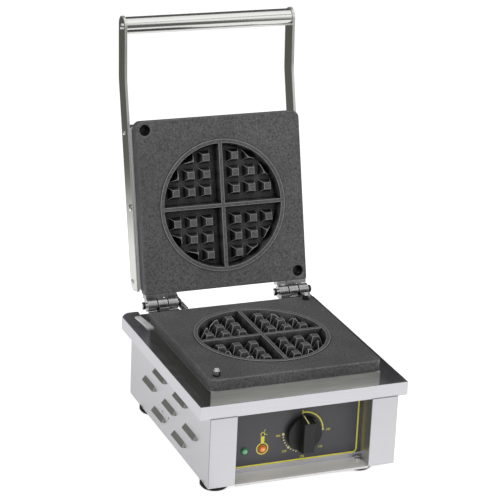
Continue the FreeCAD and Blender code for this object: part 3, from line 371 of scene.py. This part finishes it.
def lens(name, node, rim, heart, glow):
    """A lamp's clear cap, dark at its rim and lit at its heart."""
    near, far, coat = 0.1, 0.46, 0.6
    material = grained(name, rim, 0.12, fine=500.0, wide=420.0, contrast=0.3, lift=0.03)
    tree = material.node_tree
    surface = tree.nodes["Principled BSDF"]
    low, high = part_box(node)
    x, _, z = middle(node)
    across = high[0] - low[0]
    effect = add_effect(tree, HEART, {"Centre": (x, low[1], z), "Near": near * across, "Far": far * across})
    lay_over(tree, effect.outputs["Lit"], heart)
    tree.links.new(surface.inputs["Base Color"].links[0].from_socket, surface.inputs["Emission Color"])
    surface.inputs["Emission Strength"].default_value = glow
    surface.inputs["Coat Weight"].default_value = coat
    return material


# The object's own finishes
X_AXIS, Y_AXIS, Z_AXIS = (1, 0, 0), (0, 1, 0), (0, 0, 1)


def dress(material, *names):
    """Gives a finish to CAD nodes."""
    for name in names:
        mesh = nodes[name].data
        mesh.materials.clear()
        mesh.materials.append(material)


def sheet_metal():
    """Case, lid cover, tray and heater pan; returns the steel of the rear panel and the cover."""
    # The side steel is a darker copy of the steel on the rear panel and cover, painted shade; its pressed
    # louvres get more painted shade.
    side = brushed("sheet_side_shaded", (0.54, 0.535, 0.555), 0.36)
    dress(pressed(side, (0.27, 0.27, 0.25), dull=0.75), "left_side_panel", "right_side_panel")
    steel = brushed("sheet_front", (0.63, 0.625, 0.65), 0.36, along=X_AXIS)
    dress(steel, "rear_panel", "upper_cover")
    # The bottom panel's steel is lighter than the rest, a lit copy: painted light.
    flat = brushed("sheet_flat_lit", (0.8, 0.79, 0.78), 0.5, across=Y_AXIS, along=X_AXIS, metallic=0.4)
    dress(flat, "bottom_panel")
    tray = brushed("sheet_tray", (0.585, 0.58, 0.605), 0.34, across=(0.1, 0.1, 1), along=(1, 1, 0))
    dress(tray, "drip_tray")
    # The heater pan's steel is lighter and yellower than the rest, a painted reflection, and its faces square
    # to X are darkened by painted shade.
    pan = brushed("sheet_pan_painted_light", (0.89, 0.895, 0.82), 0.42, along=X_AXIS, contrast=0.13)
    dress(square_to(pan, X_AXIS, (0.31, 0.31, 0.28)), "lower_heater_pan")
    return steel


def handle_bars():
    """Arms, handle tube and plate bracket; the open lid's arms are brushed along their length."""
    opened = math.radians(joints["lid_hinge"]["range_deg"][1])
    along = (0.0, -math.cos(opened), math.sin(opened))
    across = (0.0, math.sin(opened), math.cos(opened))
    arm = brushed("bar_arm", (0.6, 0.6, 0.56), 0.17, across, along, pitch=1200.0)
    # Painted highlights on the arms' edges, which are made light and matt, and a little painted shade in
    # their hollows.
    rub(arm, (0.62, 0.62, 0.61), (0.3, 0.3, 0.28), width=2.6 * MM, reach=3 * MM, hollow_share=0.2, dull=0.85)
    dress(arm, "handle_arm_left", "handle_arm_right")
    tube = brushed("bar_tube", (0.62, 0.62, 0.595), 0.12, (0, 1, 1), X_AXIS, pitch=1500.0, contrast=0.1)
    dress(tube, "handle_tube")
    # The bracket's steel is lighter than the rest, a lit copy: painted light.
    bracket = brushed("bar_bracket_lit", (0.86, 0.86, 0.84), 0.35, X_AXIS, Y_AXIS, metallic=0.5)
    dress(bracket, "plate_bracket_left")


def cast_and_machined():
    """Waffle plates, hinge leaves and locating pegs."""
    cast = grained("cast_plate", (0.11, 0.11, 0.111), 0.42, fine=330.0, wide=14.0, contrast=0.55, lift=0.5,
                   deep=0.8 * MM, gloss=0.34)
    # Painted highlights on the plates' edges and painted shade deep in the moulds' hollows; the oil film only
    # smooths the hollows.
    rub(cast, grey(0.46), grey(0.002), width=1 * MM, reach=16 * MM, hollow_share=0.95, oiled=0.26)
    dress(cast, "lower_plate", "upper_plate")
    machined = brushed("machined_steel", (0.35, 0.35, 0.355), 0.22, X_AXIS, (0, 1, 1), pitch=2500.0,
                       contrast=0.5, lift=0.2)
    # Painted highlights on the hinges' edges and painted shade in their hollows.
    rub(machined, grey(0.7), grey(0.004), width=0.7 * MM, reach=9 * MM, hollow_share=1.0)
    dress(machined, "lower_hinge_left", "lower_hinge_right", "upper_hinge_left", "upper_hinge_right",
          "upper_hinge_screws", "lower_hinge_screws")
    peg = brushed("turned_peg", grey(0.08), 0.24, Z_AXIS, (1, 1, 0), pitch=3000.0, contrast=0.18, lift=0.1)
    # Painted highlights on the pegs' edges and over their flat tops, and painted shade in their hollows.
    rub(peg, grey(0.3), grey(0.01), width=0.5 * MM, reach=4 * MM)
    dress(square_to(peg, Z_AXIS, (0.8, 0.8, 0.79), dull=0.8), "locating_pegs")


def fasteners():
    """Bright screws, pins and studs, and black pin rings; returns the black steel."""
    screw = grained("bright_screw", grey(0.7), 0.22, fine=2500.0, wide=80.0, metallic=1.0, contrast=0.08,
                    lift=0.06)
    dress(screw, "cover_screws", "arm_bolts", "handle_screws", "foot_screws", "rear_panel_screws",
          "hinge_pin_left", "hinge_pin_right", "lower_clamp_studs", "upper_clamp_studs", "thermostat_shaft")
    black = grained("black_steel", grey(0.02), 0.35, fine=1500.0, wide=30.0, metallic=0.6, contrast=0.3,
                    lift=0.1)
    dress(black, "hinge_pin_nuts")
    return black


def panel_and_mouldings():
    """Control panel, knob, plugs, glands and feet."""
    film = grained("panel_film", (0.066, 0.064, 0.072), 0.34, fine=1800.0, wide=10.0, lift=0.06)
    dress(film, "control_panel")
    plastic = grained("black_plastic", (0.011, 0.011, 0.0105), 0.38, fine=2200.0, wide=20.0, contrast=0.2,
                      lift=0.12, gloss=0.35)
    dress(plastic, "control_knob", "handle_plugs", "conduit_gland", "conduit_bush", "cord_gland")
    rubber = grained("foot_rubber", grey(0.006), 0.62, fine=1400.0, wide=20.0, contrast=0.3, lift=0.25,
                     gloss=0.2)
    dress(rubber, "rubber_feet")


def inner_parts():
    """Thermostat, terminals and elements, which the case, plates and cover hide."""
    pale = grained("moulded_pale", (0.5, 0.47, 0.4), 0.5, fine=1200.0, wide=20.0)
    dress(pale, "thermostat_body", "terminal_block", "safety_cutout")
    heater = grained("heater_sheath", (0.2, 0.17, 0.15), 0.45, wide=25.0, metallic=0.8, contrast=0.3)
    dress(heater, "lower_element", "upper_element", "lower_element_clamp", "upper_element_clamp")
    copper = grained("copper_line", (0.65, 0.36, 0.24), 0.35, wide=25.0, metallic=1.0)
    dress(copper, "thermostat_bulb")


def lamps():
    """The green and the orange lamp, both lit."""
    green = lens("green_lens", "green_pilot_lamp", (0.008, 0.09, 0.035), (0.28, 0.72, 0.42), glow=0.3)
    dress(green, "green_pilot_lamp")
    orange = lens("orange_lens", "orange_pilot_lamp", (0.5, 0.12, 0.006), (1.0, 0.42, 0.1), glow=0.35)
    dress(orange, "orange_pilot_lamp")


def conduit_finish():
    """Conduit steel, with painted highlights on its ribs and painted shade in its grooves."""
    steel = brushed("conduit_steel", grey(0.34), 0.28, Z_AXIS, (1, 1, 0), pitch=2000.0, contrast=0.15)
    rub(steel, grey(0.6), grey(0.01), width=0.5 * MM, reach=2 * MM)
    dress(steel, "flex_conduit")
    return steel


SHEET_STEEL = sheet_metal()
BLACK_STEEL = fasteners()
CONDUIT_STEEL = conduit_finish()
INK = grained("panel_ink", (1.0, 0.89, 0.09), 0.4, fine=2000.0, wide=40.0, contrast=0.1, lift=0.03)
PALE_INK = grained("pale_ink", (0.95, 0.9, 0.42), 0.4, fine=2000.0, wide=40.0, contrast=0.08, lift=0.03)
handle_bars()
cast_and_machined()
panel_and_mouldings()
inner_parts()
lamps()


# Making pieces
def add_object(name, data):
    """A new object at the origin, in the scene."""
    obj = bpy.data.objects.new(name, data)
    bpy.context.scene.collection.objects.link(obj)
    return obj


def finish_piece(name, mesh, material, body):
    """Makes a mesh a piece of one finish; a piece with no body is left for a blend."""
    mesh.materials.clear()
    mesh.materials.append(material)
    obj = add_object(name, mesh)
    if body:
        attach(obj, body)
    return obj


def piece(name, points, faces, material, body):
    """A piece from its points and faces."""
    mesh = bpy.data.meshes.new(name)
    mesh.from_pydata(points, [], faces)
    return finish_piece(name, mesh, material, body)


def plain_mesh(source):
    """An object's shape after its modifiers as a mesh of its own; the object itself goes."""
    bpy.context.view_layer.update()
    mesh = bpy.data.meshes.new_from_object(source.evaluated_get(bpy.context.evaluated_depsgraph_get()))
    bpy.data.objects.remove(source)
    return mesh


def repeat_group():
    """Stands a shape on every point of a mesh, turned and sized as the point says, in one material."""
    tree = bpy.data.node_groups.new("repeat", "GeometryNodeTree")
    inputs = (("Geometry", "Geometry"), ("Shape", "Object"), ("Size", "Float"), ("Material", "Material"))
    sockets = {}
    for label, kind in inputs:
        socket = tree.interface.new_socket(label, in_out="INPUT", socket_type="NodeSocket" + kind)
        sockets[label] = socket.identifier
    tree.interface.new_socket("Geometry", in_out="OUTPUT", socket_type="NodeSocketGeometry")
    source, sink = tree.nodes.new("NodeGroupInput"), tree.nodes.new("NodeGroupOutput")
    info = tree.nodes.new("GeometryNodeObjectInfo")
    turn = tree.nodes.new("GeometryNodeInputNamedAttribute")
    turn.data_type = "FLOAT_VECTOR"
    turn.inputs["Name"].default_value = "turn"
    share = tree.nodes.new("GeometryNodeInputNamedAttribute")
    share.data_type = "FLOAT"
    share.inputs["Name"].default_value = "share"
    size = math_node(tree, "MULTIPLY", source.outputs["Size"], share.outputs["Attribute"])
    stand = tree.nodes.new("GeometryNodeInstanceOnPoints")
    real = tree.nodes.new("GeometryNodeRealizeInstances")
    paint = tree.nodes.new("GeometryNodeSetMaterial")
    link = tree.links.new
    link(source.outputs["Shape"], info.inputs["Object"])
    link(source.outputs["Geometry"], stand.inputs["Points"])
    link(info.outputs["Geometry"], stand.inputs["Instance"])
    link(turn.outputs["Attribute"], stand.inputs["Rotation"])
    link(size, stand.inputs["Scale"])
    link(stand.outputs["Instances"], real.inputs["Geometry"])
    link(real.outputs["Geometry"], paint.inputs["Geometry"])
    link(source.outputs["Material"], paint.inputs["Material"])
    link(paint.outputs["Geometry"], sink.inputs["Geometry"])
    return tree, sockets


REPEAT, REPEAT_SOCKETS = repeat_group()


def repeated(name, shape, size, turn, spots, material, body):
    """Copies of a shape as one piece: turn is Euler angles, and spots are (point, share of size)."""
    points = bpy.data.meshes.new(name + "_points")
    points.from_pydata([point for point, _ in spots], [], [])
    turns = points.attributes.new("turn", "FLOAT_VECTOR", "POINT")
    turns.data.foreach_set("vector", list(turn) * len(spots))
    shares = points.attributes.new("share", "FLOAT", "POINT")
    shares.data.foreach_set("value", [share for _, share in spots])
    carrier = add_object(name + "_carrier", points)
    modifier = carrier.modifiers.new("repeat", "NODES")
    modifier.node_group = REPEAT
    for label, value in (("Shape", shape), ("Size", size), ("Material", material)):
        modifier[REPEAT_SOCKETS[label]] = value
    mesh = plain_mesh(carrier)
    mesh.name = name
    bpy.data.objects.remove(shape)
    return finish_piece(name, mesh, material, body)


def pattern(name, points, faces):
    """A small shape that is only copied, in millimetres, lying in its own XY plane."""
    mesh = bpy.data.meshes.new(name)
    mesh.from_pydata([tuple(c * MM for c in point) for point in points], [], faces)
    return bpy.data.objects.new(name, mesh)


def ring(radius, level, sides):
    """Points of a circle in a pattern's XY plane."""
    turns = [2 * math.pi * i / sides for i in range(sides)]
    return [(radius * math.cos(turn), radius * math.sin(turn), level) for turn in turns]


def disc(name, radius, rise, sides=20):
    """A low round dot with no back, which lies on the panel."""
    faces = [tuple(range(sides, 2 * sides))]
    faces += [(i, (i + 1) % sides, sides + (i + 1) % sides, sides + i) for i in range(sides)]
    return pattern(name, ring(radius, 0, sides) + ring(radius, rise, sides), faces)


def washer(name, inner, outer, thick, sides=28):
    """A flat ring, closed all round."""
    profile = ((inner, -thick / 2), (outer, -thick / 2), (outer, thick / 2), (inner, thick / 2))
    points = [point for radius, level in profile for point in ring(radius, level, sides)]
    faces = []
    for row in range(len(profile)):
        here, there = row * sides, (row + 1) % len(profile) * sides
        for i in range(sides):
            after = (i + 1) % sides
            faces.append((here + i, here + after, there + after, there + i))
    return pattern(name, points, faces)


# Print on the control panel: places (x, z) in its plane, in millimetres
PANEL_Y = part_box("control_panel")[0][1]
DIAL_X, _, DIAL_Z = [value / MM for value in joints["dial_turn"]["pos_m"]]
LAMP_X, _, LAMP_Z = [value / MM for value in middle("orange_pilot_lamp")]
SCALE_RADIUS = 29.6
PRINT_RISE, DOT_RISE = 0.12, 0.02


def on_panel(x, z, rise=PRINT_RISE):
    """The point that stands out from a place on the panel by rise."""
    return (x * MM, PANEL_Y - rise * MM, z * MM)


def on_circle(radius, angle, centre=(DIAL_X, DIAL_Z)):
    """A point on a circle, at an angle in degrees clockwise from the top."""
    turn = math.radians(angle)
    return centre[0] + radius * math.sin(turn), centre[1] + radius * math.cos(turn)


def arc(radius, start, stop, step=3.0, centre=(DIAL_X, DIAL_Z)):
    """Points from one angle to another, about a step apart."""
    count = int(abs(stop - start) / step) + 1
    return [on_circle(radius, start + (stop - start) * i / (count - 1), centre) for i in range(count)]


def strip(path, width):
    """A thin band along a path on the panel: its points and faces."""
    left, right = [], []
    for i, (x, z) in enumerate(path):
        before, after = path[max(i - 1, 0)], path[min(i + 1, len(path) - 1)]
        dx, dz = after[0] - before[0], after[1] - before[1]
        length = math.hypot(dx, dz)
        aside_x, aside_z = -dz / length * width / 2, dx / length * width / 2
        left.append(on_panel(x + aside_x, z + aside_z))
        right.append(on_panel(x - aside_x, z - aside_z))
    count = len(path)
    return left + right, [(i, count + i, count + i + 1, i + 1) for i in range(count - 1)]


def border():
    """The line round three sides of the panel, with round lower corners."""
    side, top, foot, corner, width = 94, 106, 22.5, 5, 2.1
    path = [(-side, top)] + arc(corner, 270, 180, 10, (corner - side, foot))
    path += arc(corner, 180, 90, 10, (side - corner, foot)) + [(side, top)]
    return strip(path, width)


def dial_scale():
    """The dial's quarter ring, and a tick across its top."""
    ring_width, tick_x, tick_low, tick_top, tick_width = 1.9, 9.8, 86, 91.5, 1.4
    return [strip(arc(SCALE_RADIUS, -3, 90), ring_width),
            strip([(tick_x, tick_low), (tick_x, tick_top)], tick_width)]


def lamp_sign():
    """A thermometer over the orange lamp: an open ring, a stem, a loop on top and two short rays."""
    ring_radius, ring_gap, ring_width = 8.2, 22, 1.6
    stem_start, stem_top, stem_width = LAMP_Z + 7.4, 60, 5.4
    loop_radius, loop_turn, loop_z, loop_width = 2.8, 120, 63, 1.1
    rays, ray_width = (((1.5, 66.5), (3.5, 70)), ((4.4, 62), (6.6, 62))), 0.8
    bands = [strip(arc(ring_radius, ring_gap, 360 - ring_gap, 8, (LAMP_X, LAMP_Z)), ring_width),
             strip([(LAMP_X, stem_start), (LAMP_X, stem_top)], stem_width),
             strip(arc(loop_radius, -loop_turn, loop_turn, 20, (LAMP_X, loop_z)), loop_width)]
    for ray in rays:
        bands.append(strip([(LAMP_X + x, z) for x, z in ray], ray_width))
    return bands


def panel_lines():
    """All the printed lines, as one piece."""
    points, faces = [], []
    for band_points, band_faces in [border()] + dial_scale() + lamp_sign():
        faces += [tuple(len(points) + i for i in face) for face in band_faces]
        points += band_points
    piece("panel_lines", points, faces, INK, "base")


def panel_dots():
    """One dot at the end of the dial's ring, and a row of small dots with two large ones."""
    radius, thick, small, large, end = 0.9, 0.1, 1.25, 2.2, 1.9
    large_angles, face_out = (225, 270), (math.pi / 2, 0, 0)
    spots = [(on_panel(DIAL_X + SCALE_RADIUS, DIAL_Z, DOT_RISE), end / small)]
    for angle in range(198, 271, 9):
        share = large / small if angle in large_angles else 1.0
        spots.append((on_panel(*on_circle(SCALE_RADIUS, angle), DOT_RISE), share))
    repeated("panel_dots", disc("dot", radius, thick), small, face_out, spots, PALE_INK, "base")


def text_piece(name, words, x, z, tall):
    """Printed words, centred on a place on the panel."""
    curve = bpy.data.curves.new(name, "FONT")
    curve.body = words
    curve.size = tall * MM
    curve.align_x = "CENTER"
    curve.align_y = "CENTER"
    mesh = plain_mesh(add_object(name + "_source", curve))
    mesh.transform(Matrix.Translation(Vector(on_panel(x, z))) @ Matrix.Rotation(math.pi / 2, 4, "X"))
    return finish_piece(name, mesh, INK, "base")


def panel_numbers():
    """Temperatures round the dial, each at its angle."""
    radius, tall = 37.5, 4.6
    for number, angle in ((100, 92), (150, 134), (200, 180), (250, 226), (300, 268)):
        text_piece(f"panel_number_{number}", str(number), *on_circle(radius, angle), tall)


# Trim and conduit
def panel_lip():
    """The bottom sheet's narrow fold up the foot of the control panel."""
    (left, _, foot), (right, _, _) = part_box("control_panel")
    top, out, bevel = 16.3 * MM, 0.8 * MM, 0.35 * MM
    profile = [(0, foot), (out, foot), (out, top - bevel), (out - bevel, top), (0, top)]
    points = [(x, PANEL_Y - dy, z) for x in (left, right) for dy, z in profile]
    count = len(profile)
    faces = [tuple(range(count)), tuple(range(2 * count - 1, count - 1, -1))]
    faces += [((i + 1) % count, i, count + i, count + (i + 1) % count) for i in range(count)]
    piece("panel_lip", points, faces, SHEET_STEEL, "base")


def knob_mark():
    """Pointer line up the sloping end of the knob's grip."""
    low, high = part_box("control_knob")
    x, _, z = middle("control_knob")
    reach, tall = (high[2] - low[2]) / 2, high[1] - low[1]
    aside, start, skirt, step, slope = 2 * MM, 0.4 * MM, 5 * MM, 0.5 * MM, 4 * MM
    half, lift = 0.85 * MM, 0.2 * MM
    line = [(start, reach), (skirt, reach)]
    for share in (0.02, 0.95):
        line.append((skirt + share * (tall - skirt), reach - step - share * (slope - step)))
    points = []
    for edge in (x - aside - half, x - aside + half):
        points += [(edge, high[1] - depth - lift, z + rise + lift) for depth, rise in line]
    count = len(line)
    faces = [(i, i + 1, count + i + 1, count + i) for i in range(count - 1)]
    piece("knob_pointer", points, faces, PALE_INK, "dial")


def hinge_washers():
    """Painted shadow: black rings in the gaps between the knuckles of both hinges."""
    half_pitch, inner, outer, thick = 8 * MM, 4.3, 9.1, 1.4
    spots, on_pin = [], (0, math.pi / 2, 0)
    for pin in ("hinge_pin_left", "hinge_pin_right"):
        x, y, z = middle(pin)
        spots += [((x + shift, y, z), 1.0) for shift in (-half_pitch, half_pitch)]
    shape = washer("washer", inner, outer, thick)
    repeated("hinge_washers", shape, 1.0, on_pin, spots, BLACK_STEEL, "base")


def conduit_skin():
    """The ribbed conduit as a piece of its own, with no body; the CAD node is hidden."""
    node = nodes["flex_conduit"]
    mesh = node.data.copy()
    mesh.transform(node.matrix_world)
    obj = finish_piece("conduit_skin", mesh, CONDUIT_STEEL, None)
    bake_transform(obj)
    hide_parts("flex_conduit")


panel_lines()
panel_dots()
panel_numbers()
panel_lip()
knob_mark()
hinge_washers()
conduit_skin()


# Studio
def floor():
    """A pale table: white to the camera, and in metal as far as its rim."""
    half, level, roughness = 6.0, -0.0004, 0.9
    rim_start, rim_stop = 0.75, 1.25
    pale, far_off = (0.8, 0.8, 0.8, 1), (0.2, 0.2, 0.175, 1)
    white, least = 0.66, 0.04
    mesh = bpy.data.meshes.new("floor")
    corners = [(-half, -half, level), (half, -half, level), (half, half, level), (-half, half, level)]
    mesh.from_pydata(corners, [], [(0, 1, 2, 3)])
    material, tree, surface = new_material("floor")
    surface.inputs["Roughness"].default_value = roughness
    surface.inputs["Specular IOR Level"].default_value = 0.0
    surface.inputs["Emission Color"].default_value = (1, 1, 1, 1)
    place = tree.nodes.new("ShaderNodeTexCoord").outputs["Object"]
    path = tree.nodes.new("ShaderNodeLightPath").outputs
    rim = smooth(tree, vector_number(tree, "LENGTH", place), rim_start, rim_stop, 0.0, 1.0)
    beyond = math_node(tree, "MULTIPLY", rim, path["Is Glossy Ray"])
    direct = math_node(tree, "MAXIMUM", path["Is Camera Ray"], path["Is Transmission Ray"])
    near = math_node(tree, "SUBTRACT", path["Is Glossy Ray"], beyond)
    # In metal, the table darkens towards the left side of the case, which shades it.
    open_x, side_x, under_x, open_share, side_share = -0.36, -0.16, -0.11, 0.95, 0.7
    x = split_axes(tree, place)["X"]
    beside = smooth(tree, x, open_x, side_x, open_share, side_share)
    under = smooth(tree, x, side_x, under_x, 0.0, 1.0)
    near = math_node(tree, "MULTIPLY", near, math_node(tree, "MAXIMUM", beside, under))
    glow = math_node(tree, "MULTIPLY_ADD", math_node(tree, "MAXIMUM", direct, near), white, least)
    tree.links.new(glow, surface.inputs["Emission Strength"])
    tree.links.new(mix_colour(tree, beyond, pale, far_off), surface.inputs["Base Color"])
    mesh.materials.append(material)
    add_object("floor", mesh)


def world():
    """White to the camera and through glass; otherwise a soft room, bright high up and dim at the back."""
    # Light of the room by height, from straight down at 0 to straight up at 1
    stops = ((0.0, 0.4), (0.47, 0.3), (0.5, 0.3), (0.56, 0.4), (0.64, 0.75), (0.72, 1.45), (0.86, 1.1),
             (1.0, 0.6))
    blue, strength = 1.01, 0.5
    back_start, back_stop, full, back_dim = -0.1, 0.6, 0.95, 0.75
    sky = bpy.data.worlds.new("studio")
    bpy.context.scene.world = sky
    sky.use_nodes = True
    tree = sky.node_tree
    tree.nodes.clear()
    out = tree.nodes.new("ShaderNodeOutputWorld")
    seen, room = tree.nodes.new("ShaderNodeBackground"), tree.nodes.new("ShaderNodeBackground")
    seen.inputs["Color"].default_value = (1, 1, 1, 1)
    way = split_axes(tree, tree.nodes.new("ShaderNodeTexCoord").outputs["Generated"])
    ramp = tree.nodes.new("ShaderNodeValToRGB")
    tree.links.new(math_node(tree, "MULTIPLY_ADD", way["Z"], 0.5, 0.5), ramp.inputs["Fac"])
    while len(ramp.color_ramp.elements) < len(stops):
        ramp.color_ramp.elements.new(0.5)
    for element, (where, level) in zip(ramp.color_ramp.elements, stops):
        element.position = where
        element.color = (level, level, level * blue, 1)
    behind = run(tree, way["Y"], back_start, back_stop, 0.0, 1.0)
    share = math_node(tree, "MULTIPLY_ADD", behind, -back_dim, full)
    tree.links.new(mix_colour(tree, share, (0, 0, 0, 1), ramp.outputs["Color"]), room.inputs["Color"])
    room.inputs["Strength"].default_value = strength
    path = tree.nodes.new("ShaderNodeLightPath").outputs
    mix = tree.nodes.new("ShaderNodeMixShader")
    direct = math_node(tree, "MAXIMUM", path["Is Camera Ray"], path["Is Transmission Ray"])
    tree.links.new(direct, mix.inputs[0])
    tree.links.new(room.outputs[0], mix.inputs[1])
    tree.links.new(seen.outputs[0], mix.inputs[2])
    tree.links.new(mix.outputs[0], out.inputs["Surface"])


def soft_light(name, spot, wide, power):
    """A square lamp turned to the object."""
    aim = Vector((0, 0, 0.2))
    light = bpy.data.lights.new(name, "AREA")
    light.shape = "SQUARE"
    light.size = wide
    light.energy = power
    obj = add_object(name, light)
    obj.location = spot
    obj.rotation_euler = (aim - Vector(spot)).to_track_quat("-Z", "Y").to_euler()


def camera():
    """The photograph's viewpoint, fitted from its corners and edges."""
    azimuth, elevation, roll = math.radians(-22.56), math.radians(20.29), math.radians(2.59)
    aim, distance, focal_length = Vector((0, 0.00503, 0.2579)), 2.9387, 148.75
    level = math.cos(elevation)
    back = Vector((math.sin(azimuth) * level, -math.cos(azimuth) * level, math.sin(elevation)))
    right = (-back).cross(Vector((0, 0, 1))).normalized()
    up = right.cross(-back)
    turned_right = right * math.cos(roll) + up * math.sin(roll)
    turned_up = up * math.cos(roll) - right * math.sin(roll)
    data = bpy.data.cameras.new("photo_camera")
    data.sensor_width = 36
    data.lens = focal_length
    data.clip_end = 50
    obj = add_object("photo_camera", data)
    obj.matrix_world = Matrix((turned_right, turned_up, back)).transposed().to_4x4()
    obj.location = aim + back * distance
    bpy.context.scene.camera = obj


floor()
world()
soft_light("key", (-1.5, -1.3, 1.7), wide=2.4, power=20)
soft_light("fill", (1.7, -1.5, 1.1), wide=2.2, power=11)
soft_light("top", (0.2, -0.1, 2.3), wide=2.2, power=15)
camera()
bpy.context.scene.view_settings.view_transform = "Standard"
